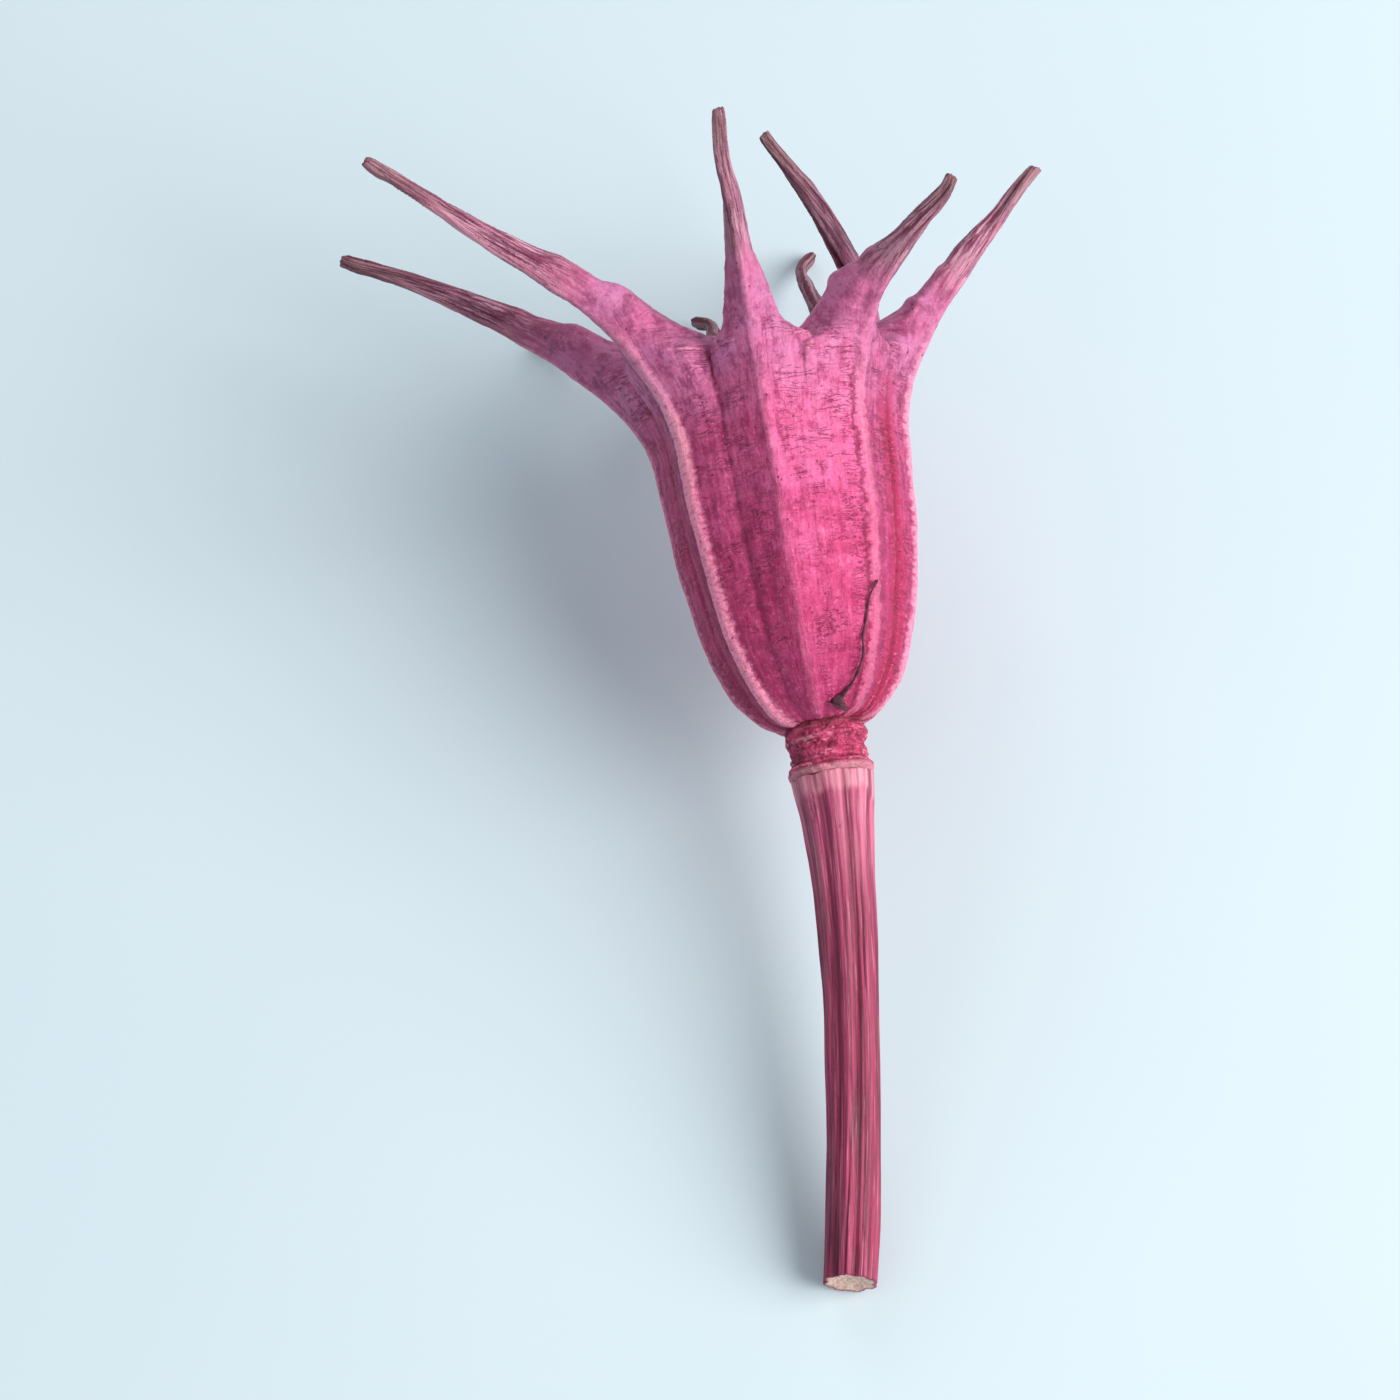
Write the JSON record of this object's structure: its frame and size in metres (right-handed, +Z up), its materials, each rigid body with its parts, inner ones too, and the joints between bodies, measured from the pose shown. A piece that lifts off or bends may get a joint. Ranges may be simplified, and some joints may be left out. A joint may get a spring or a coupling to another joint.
{
  "type": "nigella seed pod",
  "caption": "Dried, dyed nigella seed pod: ribbed capsule of fused follicles with long spreading beaks, on a short cut stem, lying down.",
  "frame": {"origin": "centre of the bounding box's underside, on the surface the pod lies on", "axes": "+Z up from that surface; +Y from the stem's cut end towards the beaks; +X to the right for a viewer who looks down on the pod with the beaks away from them"},
  "size_m": [0.0366, 0.0614, 0.0266],
  "materials": {
    "dyed_capsule_skin": "dry papery plant skin dyed magenta-pink, satin, paler on the ribs and lilac on the shoulders",
    "dyed_receptacle_bark": "rough, dry, dyed crimson",
    "dyed_stem": "dry fibrous stem dyed dusky pink, ridged lengthwise, satin",
    "withered_filament": "dry and dark, matte"
  },
  "bodies": {
    "root": {"seed_capsule": "dyed_capsule_skin", "receptacle": "dyed_receptacle_bark", "stem": "dyed_stem", "withered_stamen": "withered_filament"}
  },
  "joints": []
}
